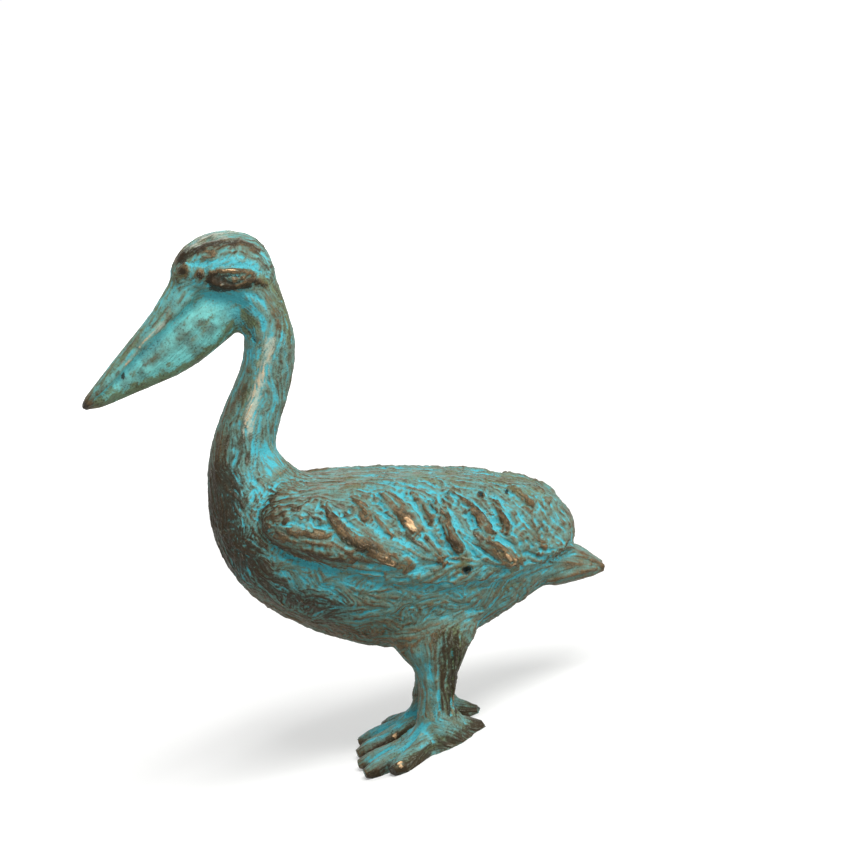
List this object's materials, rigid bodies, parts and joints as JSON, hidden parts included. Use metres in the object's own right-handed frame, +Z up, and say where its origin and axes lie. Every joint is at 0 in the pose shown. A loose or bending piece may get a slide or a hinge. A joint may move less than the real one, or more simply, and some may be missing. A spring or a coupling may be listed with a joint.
{
  "type": "pelican figurine",
  "caption": "Small standing pelican in patinated brass, with folded wings and a long pouched bill, that rests on two webbed feet.",
  "frame": {"origin": "in the ground plane, under the middle of the figure's box", "axes": "+Z up, -X the way the bird looks, +X its tail, -Y its left side"},
  "size_m": [0.0614, 0.0272, 0.0803],
  "materials": {
    "patina": "blue-green verdigris over brown bronze",
    "worn_bronze": "rubbed brown bronze with verdigris in the hollows"
  },
  "bodies": {
    "root": {"body": "patina", "neck": "patina", "head": "patina", "upper_bill": "worn_bronze", "pouch": "patina", "left_wing": "worn_bronze", "right_wing": "worn_bronze", "tail": "patina", "left_leg": "patina", "right_leg": "patina", "left_foot": "patina", "right_foot": "patina"}
  },
  "joints": []
}
